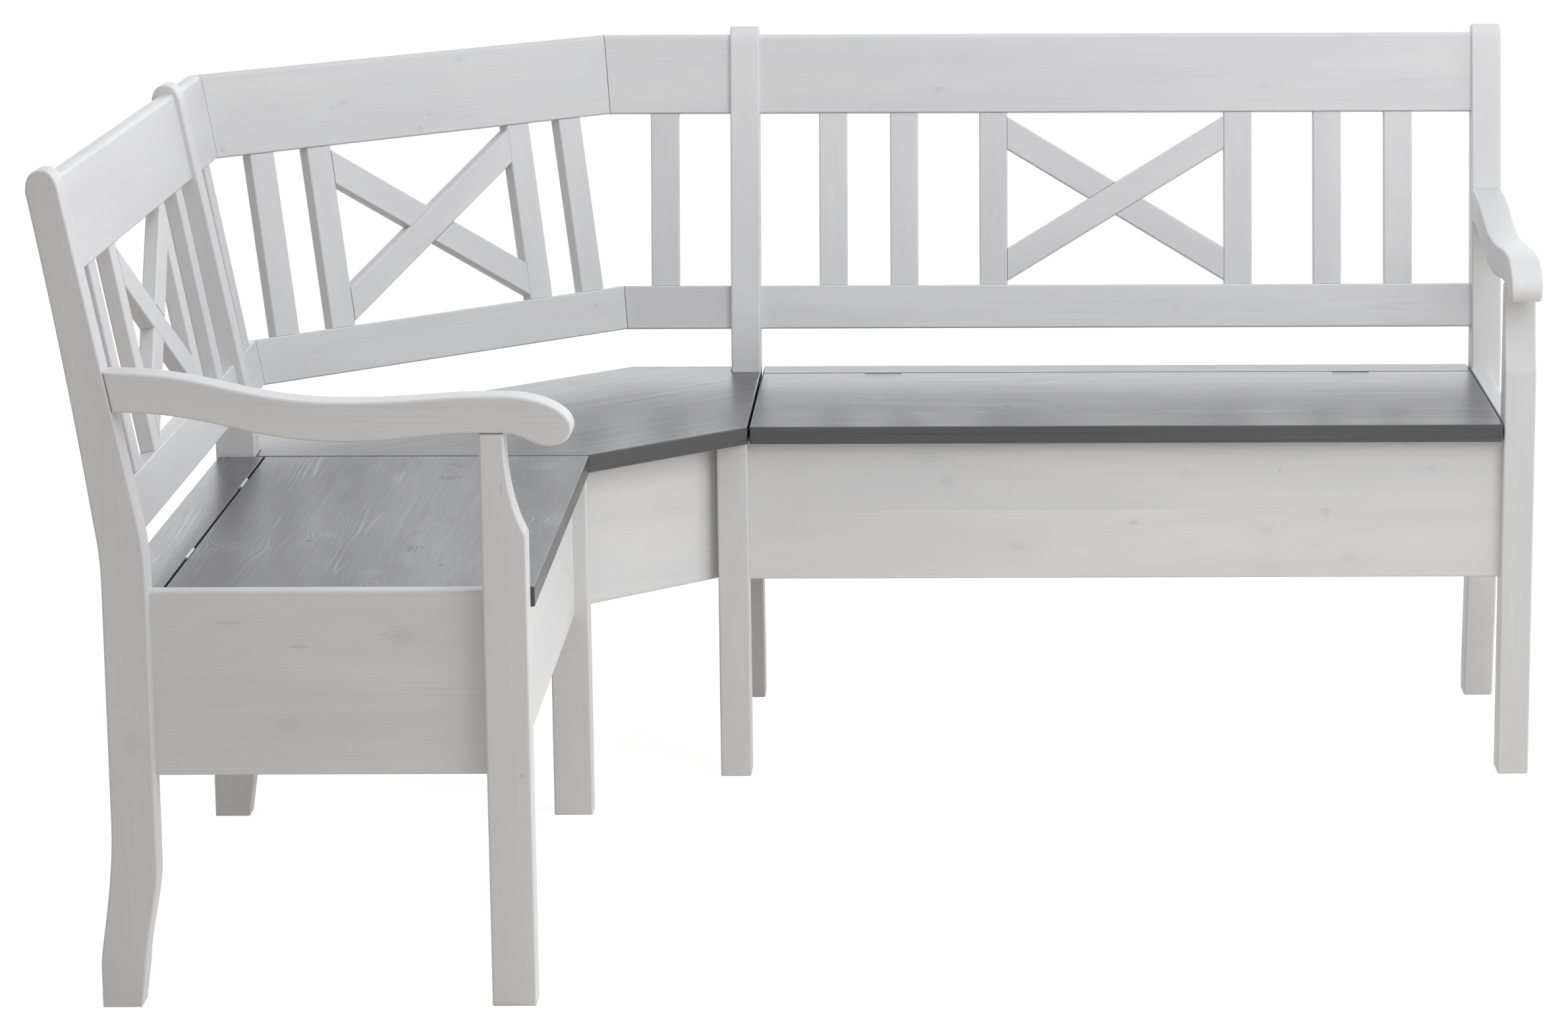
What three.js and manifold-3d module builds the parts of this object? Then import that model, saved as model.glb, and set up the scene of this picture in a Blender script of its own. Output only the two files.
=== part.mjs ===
import * as THREE from 'three';
import { mergeVertices } from 'three/addons/utils/BufferGeometryUtils.js';
import Module from 'manifold-3d';

// A corner storage bench: a long wing along +X, a short wing along -Y and a corner seat between them.
// All sizes are in millimetres. A length runs along a wing from the outer corner, where the rear planes
// of the two wings would meet. A depth runs forward from a wing's rear plane. Heights start at the floor.

// Plan
const longWingLength = 1733;
const shortWingLength = 1524;
const wingDepth = 525; // rear plane to the front faces of the front legs
const cornerRun = 153; // front of one wing to the corner legs of the other
const cornerShoulder = 184; // corner legs to where the diagonal back leaves the rear plane

// Play between pieces
const jointGap = 0.3; // glued joints that are cut at an angle or in the leaning back
const seatGap = 3; // between the corner seat and the lids and strips beside it
const lidPlay = 2; // between a lid and the end panel or leg beside it

// Back: rails, slats and crosses lie in one plane that leans back
const backLean = THREE.MathUtils.degToRad(10.5);
const railThickness = 22;
const railEdge = 2;
const topRailHeight = 108;
const topRailRound = 6;
const bottomRailHeight = 59;
const bottomRailRise = 59; // seat to the lower edge, along the lean
const bayHeight = 236; // between the rails, along the lean
const slatWidth = 38.5;
const slatThickness = 18;
const slatSetback = 2; // slats behind the rails' front faces
const slatEdge = 2;
const crossSpan = 296.5; // clear width between the two uprights of a cross
const crossClearance = 5.5; // between the ends of the bars and the rails
// Places of the slats' middles, on each side of a cross, from its upright to the next leg or mitre
const longSlatShares = [0.343, 0.666];
const shortSlatShares = [0.55];
const diagonalSlatShares = [0.535];
const cornerSlatShares = [0.42]; // from the mitre to the corner leg

// Rear legs: straight in the middle, with a foot that kicks back and a top that leans back
const legThickness = 40;
const legEdge = 2.5;
const rearLegDepth = 49;
const rearLegLead = 1.2; // straight part in front of the rails, at the height of the seat
const kneeOffset = 10; // front edge in front of the rails at the knee
const crownOffset = 6.5; // and at the crown
const crownLead = 9.7; // rounded end above the top rail
const crownDepth = 36.2;
const crownRise = 24; // the rounded end alone
const straightLead = 13; // straight part above the seat
const kneeRise = 64; // height over which the leg turns from upright to leaning
const backHollow = 2.5; // how far the leaning rear edge is hollowed
const shinHeight = 160; // where the straight part's front edge starts
const calfHeight = 210; // and its rear edge
const shinShares = [0.26, 0.3]; // how much of the curve below its handles take up, from the foot up
const calfShares = [0.15, 0.45];
const ankleHeight = 45;
const ankleKick = 17; // how far the foot stands back from the straight part
const ankleDepth = 49.5;
const soleDepth = 43;

// Front legs
const frontLegDepth = 48.5;
const frontLegRise = 177.5; // seat to the top of the two that carry an armrest
const cutRise = 64.5; // seat to where the curved cut in front starts
const cutDepth = 22;
const cutBelly = 41; // height of the curve's steep part

// Armrests
const armRearRise = 245.5; // seat to the top edge at the rear leg
const armRearThickness = 44;
const armSag = 33.5; // how far the top edge dips in the middle
const armSagDepth = 335; // rear plane to the lowest part of the top edge
const armWaist = 43.5; // thickness there
const armCrest = 6.5; // how far the top edge rises again over the front leg
const armOverhang = 52; // front leg to the tip of the scroll
const armTipDrop = 36; // crest to the tip
const armTipRound = 24; // tip back to the lowest point of the scroll
const armScrollDrop = 14; // top of the front leg to the lowest point of the scroll
const armEdge = 3;
const easeShare = 0.45; // how much of an S-curve its level handles take up
const roundShare = 0.55; // the same for a quarter turn

// Seat
const seatHeight = 465;
const seatThickness = 23;
const seatEdge = 2;
const seatOverhang = 4.5; // lids in front of the front legs
const stripRecess = 3; // strips in front of the rear legs' rear faces
const hingeClearance = 13.5; // rails to the hinges' axis, at the height of the seat
const cornerSeatDepth = 78; // rear plane of the diagonal to the rear edge of the corner seat

// Storage boxes
const boxHeight = 182; // of aprons, panels and dividers below the seat
const apronSetback = 18; // aprons and panels behind the legs' outer faces
const endPanelRise = 1; // end panels above the seat
const endPanelRound = 4;
const panelEdge = 1.5;
const diagonalApronSetback = 50; // behind the corner seat's front edge
const bottomThickness = 8;
const bottomRise = 12; // lower edge of the apron to the bottom
const grooveDepth = 6;
const groovePlay = 0.5;

// Butt hinges, let into the gap between strip and lid
const hingeLength = 50;
const longHingeInset = 165; // end of the long wing's lid to the middle of the hinge
const shortHingeInset = 176; // the same on the short wing
const knuckleCount = 5;
const knucklePlay = 0.4; // between the knuckles, along the pin
const barrelRadius = 1.8;
const pinRadius = 0.7;
const pinPlay = 0.4;
const leafThickness = 1.1;
const leafHeight = 19;
const leafPlay = 0.2; // between a leaf and the board it is screwed to
const leafGap = 0.4; // between the two leaves
const knuckleGap = 0.4; // between a leaf and the other leaf's knuckles
const axisRise = 0.6; // above the top of the seat

const curveSteps = 8;
const barrelSides = 20;

// Places that follow from the sizes
const cornerLength = wingDepth + cornerRun; // outer corner to the outer faces of the corner legs
const cornerCut = cornerLength - cornerShoulder; // outer corner to the start of the diagonal back
const topRailRise = bottomRailRise + bottomRailHeight + bayHeight;
const bayMiddle = topRailRise - bayHeight / 2;
const crownHeight = seatHeight + (topRailRise + topRailHeight) * Math.cos(backLean) + crownLead;
const crownFoot = crownHeight - crownRise;
const straightTop = seatHeight + straightLead;
const kneeTop = straightTop + kneeRise;
const backSeatDepth = crownDepth - crownOffset + (crownFoot - seatHeight) * Math.tan(backLean);
const bayDepth = backSeatDepth - bayMiddle * Math.sin(backLean);
const rearLegFront = backSeatDepth + rearLegLead;
const rearLegRear = rearLegFront - rearLegDepth;
const frontLegRear = wingDepth - frontLegDepth;
const frontLegHeight = seatHeight + frontLegRise;
const cutHeight = seatHeight + cutRise;
const armRearHeight = seatHeight + armRearRise;
const cornerLegEnd = cornerLength + legThickness;
const panelThickness = legThickness - apronSetback; // flush with the legs inside
const boxTop = seatHeight - seatThickness;
const boxFoot = boxTop - boxHeight;
const wallRear = rearLegRear + apronSetback; // of the box's back panel
const wallFront = wingDepth - apronSetback; // of the front apron
const seatFront = wingDepth + seatOverhang;
const seatRear = rearLegRear + stripRecess;
const hingeDepth = backSeatDepth + hingeClearance;
const hingeHeight = seatHeight + axisRise;
const hingeGap = 2 * (leafThickness + leafPlay) + leafGap;
const crossSide = crossSpan / 2 + slatWidth; // middle of a cross to the outer edge of its upright
const mitreSlope = Math.tan(Math.PI / 8); // a mitre halves the angle between wing and diagonal

const whiteGlaze = { color: 0xcfd0d2, roughness: 0.55, metalness: 0 };
const greyGlaze = { color: 0x8c8c8e, roughness: 0.6, metalness: 0 };
const zinc = { color: 0xb9bcc0, roughness: 0.35, metalness: 1 };

const wasm = await Module();
wasm.setup();

function piece(name, geometry, finish = whiteGlaze) {
  const mesh = new THREE.Mesh(geometry, new THREE.MeshStandardMaterial(finish));
  mesh.name = name;
  return mesh;
}

// One closed solid out of several that overlap.
function joined(...geometries) {
  const solids = geometries.map((geometry) => {
    const loose = geometry.index ? geometry.toNonIndexed() : geometry;
    const points = new THREE.BufferGeometry().setAttribute('position', loose.attributes.position);
    const merged = mergeVertices(points);
    const mesh = { numProp: 3, vertProperties: merged.attributes.position.array };
    return new wasm.Manifold(new wasm.Mesh({ ...mesh, triVerts: new Uint32Array(merged.index.array) }));
  });
  const mesh = solids.reduce((whole, next) => whole.add(next)).getMesh();
  const geometry = new THREE.BufferGeometry();
  geometry.setAttribute('position', new THREE.BufferAttribute(mesh.vertProperties, 3));
  geometry.setIndex(new THREE.BufferAttribute(mesh.triVerts, 1));
  geometry.computeVertexNormals();
  return geometry;
}

// A plate with its outline in X and Y, from Z = 0 up, with chamfered edges on both faces.
function plate(outline, thickness, edge) {
  return new THREE.ExtrudeGeometry(outline, {
    depth: thickness - 2 * edge,
    bevelThickness: edge,
    bevelSize: edge,
    bevelOffset: -edge,
    bevelSegments: 1,
    curveSegments: curveSteps,
  }).translate(0, 0, edge);
}

// Turns a plate so that its outline lies in Y and Z and its thickness runs along +X.
const acrossX = new THREE.Matrix4().makeBasis(
  new THREE.Vector3(0, 1, 0),
  new THREE.Vector3(0, 0, 1),
  new THREE.Vector3(1, 0, 0),
);

function rectangle(left, low, right, high) {
  return new THREE.Shape([
    new THREE.Vector2(left, low),
    new THREE.Vector2(right, low),
    new THREE.Vector2(right, high),
    new THREE.Vector2(left, high),
  ]);
}

// A rectangle with its two upper corners rounded and its two lower ones chamfered.
function roundedSection(left, low, right, high, upperRadius, lowerEdge) {
  return new THREE.Shape()
    .moveTo(left + lowerEdge, low)
    .lineTo(right - lowerEdge, low)
    .lineTo(right, low + lowerEdge)
    .lineTo(right, high - upperRadius)
    .quadraticCurveTo(right, high, right - upperRadius, high)
    .lineTo(left + upperRadius, high)
    .quadraticCurveTo(left, high, left, high - upperRadius)
    .lineTo(left, low + lowerEdge);
}

// A bar along X whose section lies in Y and Z. Each end is cut by a plane that stands upright:
// start and end give X for a depth, and depthOf gives the depth of a point of the section.
function bar(section, start, end, depthOf = (y) => -y) {
  const geometry = new THREE.ExtrudeGeometry(section, {
    depth: 1,
    bevelEnabled: false,
    curveSegments: curveSteps / 2,
  }).applyMatrix4(acrossX);
  const place = geometry.attributes.position;
  for (let i = 0; i < place.count; i++) {
    const depth = depthOf(place.getY(i), place.getZ(i));
    place.setX(i, THREE.MathUtils.lerp(start(depth), end(depth), place.getX(i)));
  }
  geometry.computeVertexNormals();
  return geometry;
}

// A panel whose outline lies in X and Z and that runs from one depth to another.
function panel(outline, rear, front) {
  const settings = { depth: front - rear, bevelEnabled: false, curveSegments: curveSteps / 2 };
  return new THREE.ExtrudeGeometry(outline, settings).rotateX(Math.PI / 2).translate(0, -rear, 0);
}

const at = (length) => () => length;

// Depth of a point of the leaning back, given in the back's own frame.
const leaningDepth = (y, z) => backSeatDepth - y * Math.cos(backLean) - z * Math.sin(backLean);

// Depth of the rails' front faces at a height above the floor.
const railFrontAt = (height) => backSeatDepth - (height - seatHeight) * Math.tan(backLean);

// Depth of the rear legs' front edge between the knee and the crown.
const kneeFront = railFrontAt(kneeTop) + kneeOffset;
const crownFront = railFrontAt(crownFoot) + crownOffset;
const legFrontAt = (height) => THREE.MathUtils.mapLinear(height, kneeTop, crownFoot, kneeFront, crownFront);

// Ends of a piece that is mitred to its neighbour where the diagonal starts.
const mitre = (depth) => cornerCut + depth * mitreSlope + jointGap / 2;
const diagonalMitre = (depth) => cornerCut / Math.SQRT2 - depth * mitreSlope - jointGap / 2;

function rearLeg() {
  const crownBack = crownFront - crownDepth;
  const kneeBack = kneeFront - rearLegDepth;
  const soleBack = rearLegRear - ankleKick;
  const kneeMiddle = straightTop + kneeRise / 2;
  const hollow = (kneeBack + crownBack) / 2 + 2 * backHollow;
  const [shinLow, shinHigh] = shinShares.map((share) => share * (shinHeight - ankleHeight));
  const [calfLow, calfHigh] = calfShares.map((share) => share * (calfHeight - ankleHeight));
  const outline = new THREE.Shape()
    .moveTo(-soleBack, 0)
    .lineTo(-soleBack - soleDepth, 0)
    .lineTo(-soleBack - ankleDepth, ankleHeight)
    .bezierCurveTo(
      -soleBack - ankleDepth, ankleHeight + shinLow,
      -rearLegFront, shinHeight - shinHigh,
      -rearLegFront, shinHeight,
    )
    .lineTo(-rearLegFront, straightTop)
    .quadraticCurveTo(-rearLegFront, kneeMiddle, -kneeFront, kneeTop)
    .lineTo(-crownFront, crownFoot)
    .quadraticCurveTo(-legFrontAt(crownHeight), crownHeight, -(crownFront + crownBack) / 2, crownHeight)
    .quadraticCurveTo(-crownBack, crownHeight, -crownBack, crownFoot)
    .quadraticCurveTo(-hollow, (kneeTop + crownFoot) / 2, -kneeBack, kneeTop)
    .quadraticCurveTo(-rearLegRear, kneeMiddle, -rearLegRear, straightTop)
    .lineTo(-rearLegRear, calfHeight)
    .bezierCurveTo(
      -rearLegRear, calfHeight - calfHigh,
      -soleBack, ankleHeight + calfLow,
      -soleBack, ankleHeight,
    );
  return plate(outline, legThickness, legEdge).applyMatrix4(acrossX);
}

function cornerFrontLeg() {
  const outline = rectangle(-wingDepth, 0, -frontLegRear, boxTop);
  return plate(outline, legThickness, legEdge).applyMatrix4(acrossX);
}

function endFrontLeg() {
  const outline = new THREE.Shape()
    .moveTo(-frontLegRear, 0)
    .lineTo(-frontLegRear, frontLegHeight)
    .lineTo(cutDepth - wingDepth, frontLegHeight)
    .quadraticCurveTo(cutDepth - wingDepth, cutHeight + cutBelly, -wingDepth, cutHeight)
    .lineTo(-wingDepth, 0);
  return plate(outline, legThickness, legEdge).applyMatrix4(acrossX);
}

// The outline runs along the top from the rear leg to the scroll and back underneath.
function armrest() {
  const sagHeight = armRearHeight - armSag;
  const crestHeight = sagHeight + armCrest;
  const crestDepth = wingDepth - frontLegDepth / 2;
  const tipDepth = wingDepth + armOverhang;
  const tipHeight = crestHeight - armTipDrop;
  const scrollDepth = tipDepth - armTipRound;
  const scrollHeight = frontLegHeight - armScrollDrop;
  const rearFoot = armRearHeight - armRearThickness;
  const outline = new THREE.Shape();
  let depth = legFrontAt(armRearHeight) + jointGap;
  let height = armRearHeight;
  outline.moveTo(-depth, height);
  // Level at both ends
  const ease = (toDepth, toHeight) => {
    const handle = (toDepth - depth) * easeShare;
    outline.bezierCurveTo(-depth - handle, height, -toDepth + handle, toHeight, -toDepth, toHeight);
    [depth, height] = [toDepth, toHeight];
  };
  ease(armSagDepth, sagHeight);
  ease(crestDepth, crestHeight);
  const { lerp } = THREE.MathUtils;
  outline.bezierCurveTo(
    -lerp(crestDepth, tipDepth, roundShare), crestHeight,
    -tipDepth, lerp(tipHeight, crestHeight, 1 - roundShare),
    -tipDepth, tipHeight,
  );
  outline.bezierCurveTo(
    -tipDepth, lerp(tipHeight, scrollHeight, roundShare),
    -lerp(scrollDepth, tipDepth, roundShare), scrollHeight,
    -scrollDepth, scrollHeight,
  );
  [depth, height] = [scrollDepth, scrollHeight];
  ease(wingDepth - cutDepth, frontLegHeight);
  outline.lineTo(-frontLegRear, frontLegHeight);
  [depth, height] = [frontLegRear, frontLegHeight];
  ease(armSagDepth, sagHeight - armWaist);
  ease(legFrontAt(rearFoot) + jointGap, rearFoot);
  return plate(outline, legThickness, armEdge).applyMatrix4(acrossX);
}

// A plate in the leaning back: its outline lies along the rails, its front is behind their front faces.
function inBack(outline) {
  return plate(outline, slatThickness, slatEdge)
    .rotateX(Math.PI / 2)
    .translate(0, slatSetback + slatThickness, bayMiddle);
}

function upright(middle) {
  const reach = bayHeight / 2 - jointGap;
  return inBack(rectangle(middle - slatWidth / 2, -reach, middle + slatWidth / 2, reach));
}

// Two uprights and two bars that are halved into each other and glued between them.
function cross() {
  const half = crossSpan / 2;
  const top = bayHeight / 2 - crossClearance; // of a bar where it meets the upright
  const radius = slatWidth / 2;
  // The bar's middle line ends at the height where its upper edge ends at the top.
  const narrowing = 1 - (radius / half) ** 2;
  const rise = (top - Math.sqrt(top ** 2 - narrowing * (top ** 2 - radius ** 2))) / narrowing;
  const spread = top - rise; // half of the bar's width, measured upright
  const stub = half + radius; // the bar's level end inside the upright
  const bars = [-rise, rise].map((end) => inBack(new THREE.Shape([
    new THREE.Vector2(-stub, -end - spread),
    new THREE.Vector2(-half, -end - spread),
    new THREE.Vector2(half, end - spread),
    new THREE.Vector2(stub, end - spread),
    new THREE.Vector2(stub, end + spread),
    new THREE.Vector2(half, end + spread),
    new THREE.Vector2(-half, -end + spread),
    new THREE.Vector2(-stub, -end + spread),
  ])));
  return joined(upright(-half - radius), upright(half + radius), ...bars);
}

// The back between two legs, or between a leg and a mitre. The middles of the slats are given along X.
function back(name, start, end, slats, crossMiddle) {
  const group = new THREE.Group();
  group.position.set(0, -backSeatDepth, seatHeight);
  group.rotation.x = -backLean;
  const rail = (low, height, radius) => {
    const section = roundedSection(0, low, railThickness, low + height, radius, railEdge);
    return bar(section, start, end, leaningDepth);
  };
  group.add(piece(`${name}_top_rail`, rail(topRailRise, topRailHeight, topRailRound)));
  group.add(piece(`${name}_bottom_rail`, rail(bottomRailRise, bottomRailHeight, railEdge)));
  slats.forEach((middle, i) => {
    const number = slats.length > 1 ? `_${i + 1}` : '';
    const board = piece(`${name}_slat${number}`, upright(0));
    board.position.x = middle;
    group.add(board);
  });
  if (crossMiddle !== undefined) {
    const frame = piece(`${name}_cross`, cross());
    frame.position.x = crossMiddle;
    group.add(frame);
  }
  return group;
}

// Middles of slats that lie between two places, at shares of the way.
const between = (start, end, shares) => shares.map((share) => THREE.MathUtils.lerp(start, end, share));

// The same on both sides of a cross, from one end of the bay to the other.
const besideCross = (middle, end, shares) => {
  const offsets = between(crossSide, end - middle, shares);
  return [...offsets.map((offset) => middle - offset).reverse(), ...offsets.map((offset) => middle + offset)];
};

// An apron or back panel with a groove in its inner face that holds the bottom.
function boxWall(outer, inner, start, end) {
  const outward = Math.sign(outer - inner);
  const grooveFloor = inner + outward * grooveDepth;
  const low = boxFoot + bottomRise;
  const high = low + bottomThickness + groovePlay;
  const section = new THREE.Shape()
    .moveTo(-inner, boxFoot)
    .lineTo(-inner, low)
    .lineTo(-grooveFloor, low)
    .lineTo(-grooveFloor, high)
    .lineTo(-inner, high)
    .lineTo(-inner, boxTop)
    .lineTo(-outer, boxTop)
    .lineTo(-outer, boxFoot + panelEdge)
    .lineTo(-outer + outward * panelEdge, boxFoot);
  return bar(section, at(start), at(end));
}

function endPanel(length) {
  const outer = length - apronSetback;
  const top = seatHeight + endPanelRise;
  const outline = new THREE.Shape()
    .moveTo(outer - panelThickness, boxFoot)
    .lineTo(outer - panelEdge, boxFoot)
    .lineTo(outer, boxFoot + panelEdge)
    .lineTo(outer, top - endPanelRound)
    .quadraticCurveTo(outer, top, outer - endPanelRound, top)
    .lineTo(outer - panelThickness, top);
  return panel(outline, rearLegFront, frontLegRear);
}

function board(start, end, rear, front) {
  return plate(rectangle(start, -front, end, -rear), seatThickness, seatEdge).translate(0, 0, boxTop);
}

// Cylinder along X between two places.
function rod(radius, start, end) {
  return new THREE.CylinderGeometry(radius, radius, end - start, barrelSides)
    .rotateZ(Math.PI / 2)
    .translate((start + end) / 2, 0, 0);
}

function ring(outerRadius, innerRadius, start, end) {
  const tube = new THREE.Shape().absarc(0, 0, outerRadius, 0, 2 * Math.PI);
  tube.holes.push(new THREE.Path().absarc(0, 0, innerRadius, 0, 2 * Math.PI));
  const settings = { depth: end - start, bevelEnabled: false, curveSegments: barrelSides };
  return new THREE.ExtrudeGeometry(tube, settings).applyMatrix4(acrossX).translate(start, 0, 0);
}

const slab = (start, end, front, rear, low, high) =>
  new THREE.BoxGeometry(end - start, front - rear, high - low)
    .translate((start + end) / 2, -(front + rear) / 2, (low + high) / 2);

// Both leaves of a hinge, with X = 0 in the middle of the hinge and the axis along X.
// The fixed leaf has the pin and every other knuckle, the lid's leaf has those between them.
function hinge(name, middle) {
  const group = new THREE.Group();
  group.position.set(middle, -hingeDepth, hingeHeight);
  const end = hingeLength / 2;
  const knuckleStep = (hingeLength + knucklePlay) / knuckleCount;
  const bore = pinRadius + pinPlay;
  const near = leafGap / 2;
  const far = near + leafThickness;
  const leafTop = -barrelRadius - knuckleGap;
  const leafFoot = leafTop - leafHeight;
  const neck = -(barrelRadius + bore) / 2; // the leaf ends inside the wall of its knuckle
  const fixed = [
    slab(-end, end, -near, -far, leafFoot, leafTop),
    rod(pinRadius, -end + knucklePlay, end - knucklePlay),
  ];
  const moving = [slab(-end, end, far, near, leafFoot, leafTop)];
  for (let i = 0; i < knuckleCount; i += 1) {
    const start = i * knuckleStep - end;
    const stop = start + knuckleStep - knucklePlay;
    if (i % 2 === 0) {
      fixed.push(slab(start, stop, -near, -far, leafFoot, neck), rod(barrelRadius, start, stop));
    } else {
      moving.push(slab(start, stop, far, near, leafFoot, neck), ring(barrelRadius, bore, start, stop));
    }
  }
  group.add(piece(`${name}_fixed_leaf`, joined(...fixed), zinc));
  group.add(piece(`${name}_lid_leaf`, joined(...moving), zinc));
  return group;
}

// A wing along +X, from its two corner legs to its end. The rear plane is Y = 0.
function wing(name, length, slatShares, hingeInset) {
  const group = new THREE.Group();
  const add = (part, geometry, x = 0, finish = whiteGlaze) => {
    const mesh = piece(`${name}_${part}`, geometry, finish);
    mesh.position.x = x;
    group.add(mesh);
  };
  const boxEnd = length - legThickness;
  const middle = (cornerLegEnd + boxEnd) / 2;
  const lidStart = cornerLegEnd + seatGap;
  const lidEnd = boxEnd - lidPlay;

  add('corner_rear_leg', rearLeg(), cornerLength);
  add('corner_front_leg', cornerFrontLeg(), cornerLength);
  add('end_rear_leg', rearLeg(), boxEnd);
  add('end_front_leg', endFrontLeg(), boxEnd);
  add('armrest', armrest(), boxEnd);

  const slats = besideCross(middle, boxEnd, slatShares);
  group.add(back(name, at(cornerLegEnd), at(boxEnd), slats, middle));
  const cornerSlats = between(mitre(bayDepth), cornerLength, cornerSlatShares);
  group.add(back(`${name}_corner`, mitre, at(cornerLength), cornerSlats));

  add('front_apron', boxWall(wallFront, wallFront - panelThickness, cornerLegEnd, boxEnd));
  add('back_panel', boxWall(wallRear, wallRear + panelThickness, cornerLegEnd, boxEnd));
  add('end_panel', endPanel(length));
  const divider = rectangle(cornerLegEnd - panelThickness, boxFoot, cornerLegEnd, boxTop);
  add('divider', panel(divider, rearLegFront, frontLegRear));
  const bottomReach = panelThickness - grooveDepth + groovePlay;
  const bottomFoot = boxFoot + bottomRise;
  add('box_bottom', slab(
    cornerLegEnd + groovePlay, boxEnd - groovePlay,
    wallFront - bottomReach, wallRear + bottomReach,
    bottomFoot, bottomFoot + bottomThickness,
  ));

  add('seat_strip', board(lidStart, lidEnd, seatRear, hingeDepth - hingeGap / 2), 0, greyGlaze);
  add('seat_lid', board(lidStart, lidEnd, hingeDepth + hingeGap / 2, seatFront), 0, greyGlaze);
  group.add(hinge(`${name}_corner_hinge`, lidStart + hingeInset));
  group.add(hinge(`${name}_end_hinge`, lidEnd - hingeInset));

  const cornerRail = rectangle(-wallRear - panelThickness, boxFoot, -wallRear, boxTop);
  add('corner_seat_rail', bar(cornerRail, mitre, at(cornerLength)));
  return group;
}

// The diagonal between the wings, in a frame like a wing's with X = 0 in its middle.
function diagonal() {
  const group = new THREE.Group();
  group.position.set(cornerCut / 2, -cornerCut / 2, 0);
  group.rotation.z = Math.PI / 4;
  const mirrored = (end) => (depth) => -end(depth);
  const slats = besideCross(0, diagonalMitre(bayDepth), diagonalSlatShares);
  group.add(back('diagonal', mirrored(diagonalMitre), diagonalMitre, slats, 0));

  const seatRail = rectangle(-wallRear - panelThickness, boxFoot, -wallRear, boxTop);
  group.add(piece('diagonal_seat_rail', bar(seatRail, mirrored(diagonalMitre), diagonalMitre)));

  // The apron's front face is set back from the seat's front edge and ends at the corner legs.
  const seatEdgeDepth = (cornerLegEnd + seatFront - cornerCut) / Math.SQRT2;
  const front = seatEdgeDepth - diagonalApronSetback;
  const legSide = (depth) => (cornerLength - jointGap - cornerCut / 2) * Math.SQRT2 - depth;
  const section = roundedSection(-front, boxFoot, panelThickness - front, boxTop, panelEdge, panelEdge);
  group.add(piece('diagonal_apron', bar(section, mirrored(legSide), legSide)));
  return group;
}

// The corner seat is notched round the rear legs and covers the front ones and the dividers.
function cornerSeat() {
  const notch = rearLegFront + jointGap;
  const side = cornerLength - jointGap;
  const bevel = cornerCut + cornerSeatDepth * Math.SQRT2 - seatRear;
  const half = [
    [bevel, seatRear],
    [side, seatRear],
    [side, notch],
    [cornerLegEnd, notch],
    [cornerLegEnd, seatFront],
  ];
  const otherHalf = half.map(([length, depth]) => [depth, length]).reverse();
  const outline = new THREE.Shape([...half, ...otherHalf].map(([x, y]) => new THREE.Vector2(x, -y)));
  return plate(outline, seatThickness, seatEdge).translate(0, 0, boxTop);
}

const longWing = wing('right', longWingLength, longSlatShares, longHingeInset);
const shortWing = wing('left', shortWingLength, shortSlatShares, shortHingeInset);
shortWing.rotation.z = -Math.PI / 2;
shortWing.scale.y = -1;

// The origin lies on the floor in the middle of the bench's length and width.
const bench = new THREE.Group();
bench.position.set(-longWingLength / 2, shortWingLength / 2, 0);
bench.add(longWing, shortWing, diagonal());
bench.add(piece('corner_seat', cornerSeat(), greyGlaze));

const part = new THREE.Group();
part.add(bench);
export default part;
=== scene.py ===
# Corner storage bench: white-glazed pine with brushed, grey-glazed seats and zinc hinges.
# Sizes are in millimetres. A wing's own frame has X along the wing from the outer corner of the plan,
# Y towards or away from the room (times the wing's side, a depth runs forward) and Z up.

import math

import bpy
from mathutils import Matrix, Vector
from mathutils.geometry import interpolate_bezier


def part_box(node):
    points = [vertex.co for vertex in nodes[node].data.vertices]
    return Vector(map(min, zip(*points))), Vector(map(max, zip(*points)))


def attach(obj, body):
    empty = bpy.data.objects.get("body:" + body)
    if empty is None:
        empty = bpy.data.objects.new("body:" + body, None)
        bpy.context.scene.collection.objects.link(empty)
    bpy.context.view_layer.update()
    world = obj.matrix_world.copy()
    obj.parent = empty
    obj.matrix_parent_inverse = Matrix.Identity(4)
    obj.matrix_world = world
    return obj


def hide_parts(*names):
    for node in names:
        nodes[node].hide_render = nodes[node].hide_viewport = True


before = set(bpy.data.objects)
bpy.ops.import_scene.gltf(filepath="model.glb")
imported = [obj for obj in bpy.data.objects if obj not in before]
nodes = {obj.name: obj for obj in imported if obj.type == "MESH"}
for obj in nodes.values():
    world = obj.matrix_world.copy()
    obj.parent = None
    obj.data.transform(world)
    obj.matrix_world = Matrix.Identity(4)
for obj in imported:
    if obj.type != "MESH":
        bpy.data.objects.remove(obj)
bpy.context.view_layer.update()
mm = 0.001
samePlace = 0.01 * mm  # places closer than this are one
nearlyParallel = 0.99  # cosine
bpy.context.tool_settings.mesh_select_mode = (False, True, False)
bpy.ops.object.select_all(action="DESELECT")
print("frame loaded:", len(nodes), "nodes")


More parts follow.
